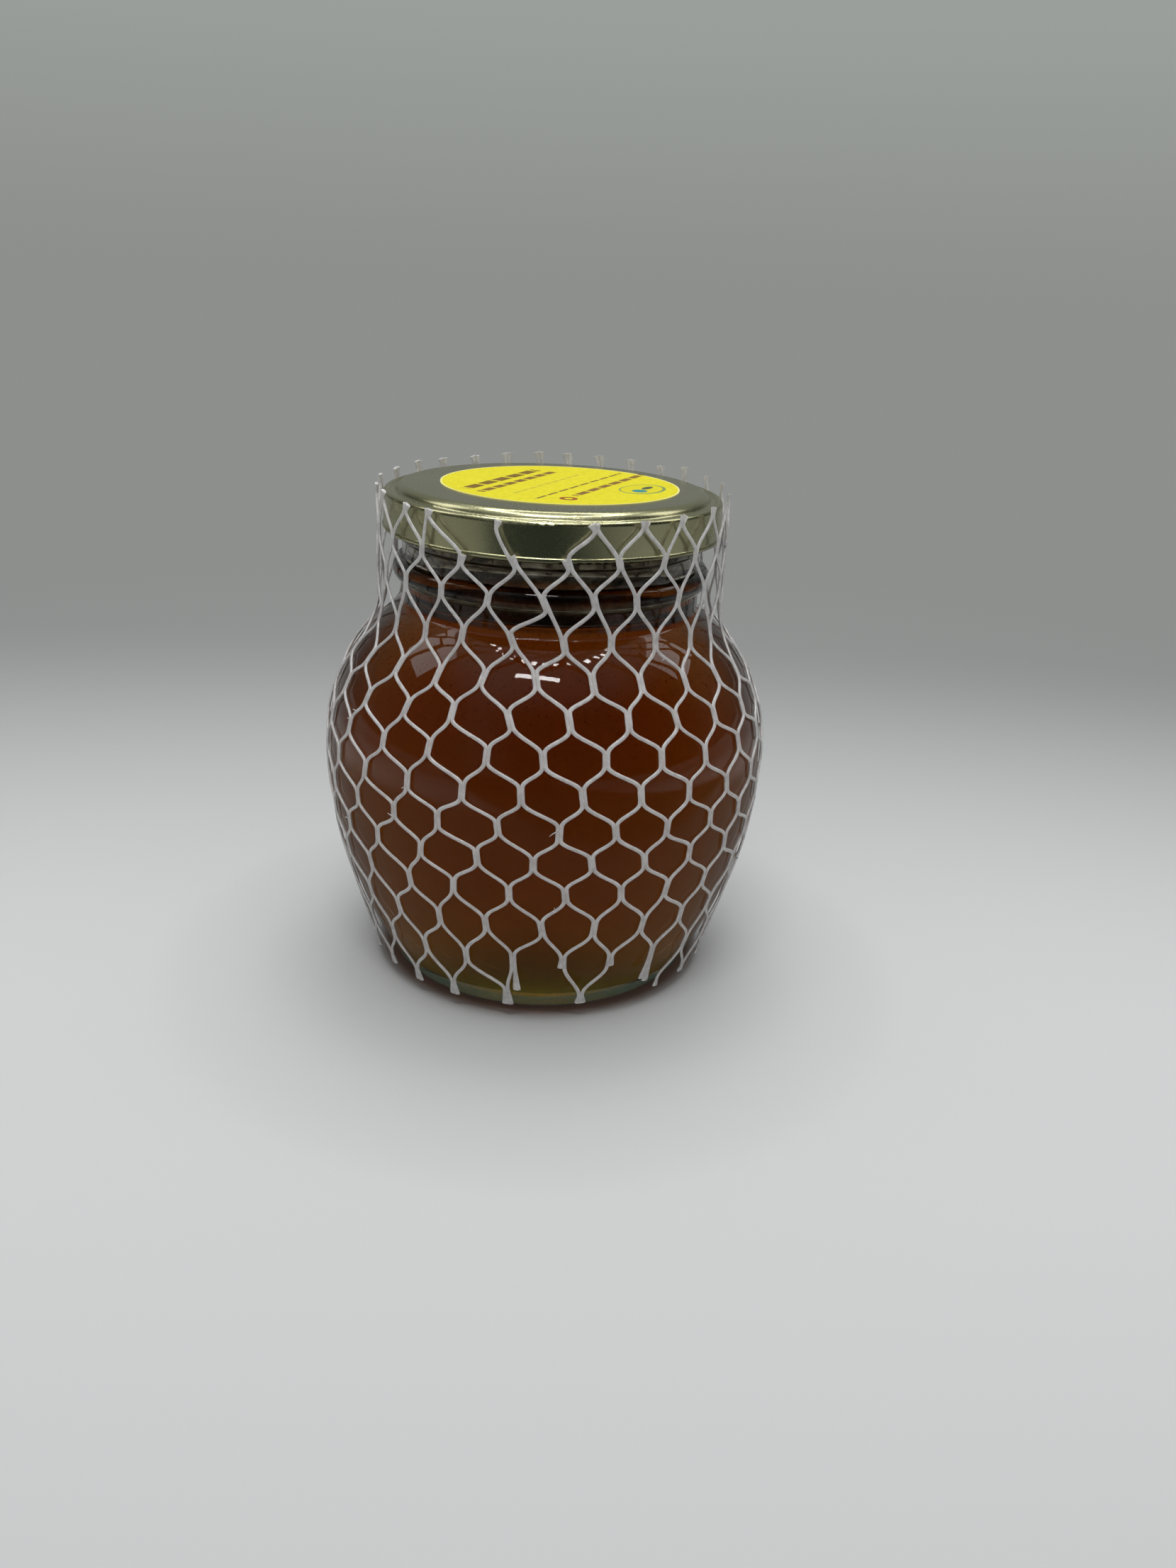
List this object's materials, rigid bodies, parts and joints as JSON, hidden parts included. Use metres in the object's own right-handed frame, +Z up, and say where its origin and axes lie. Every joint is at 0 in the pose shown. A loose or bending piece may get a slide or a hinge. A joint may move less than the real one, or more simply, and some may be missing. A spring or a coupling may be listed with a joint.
{
  "type": "honey jar",
  "caption": "Round-bellied clear glass jar of amber honey with a pale gold metal twist-off lid, a round yellow sticker on it and a plastic net sleeve over the whole jar.",
  "frame": {"origin": "centre of the jar's standing ring, on the plane that it stands on", "axes": "+Z up along the jar's axis. The jar is round, so X and Y differ only by the sticker, which sits slightly towards +X and +Y."},
  "size_m": [0.1006, 0.1006, 0.11],
  "materials": {
    "glass": "clear",
    "honey": "gloss",
    "lid": "satin",
    "paper": "satin",
    "net": "satin"
  },
  "bodies": {
    "root": {"glass_jar": "glass", "honey": "honey", "lid": "lid", "lid_label": "paper", "net_sleeve": "net"}
  },
  "joints": []
}
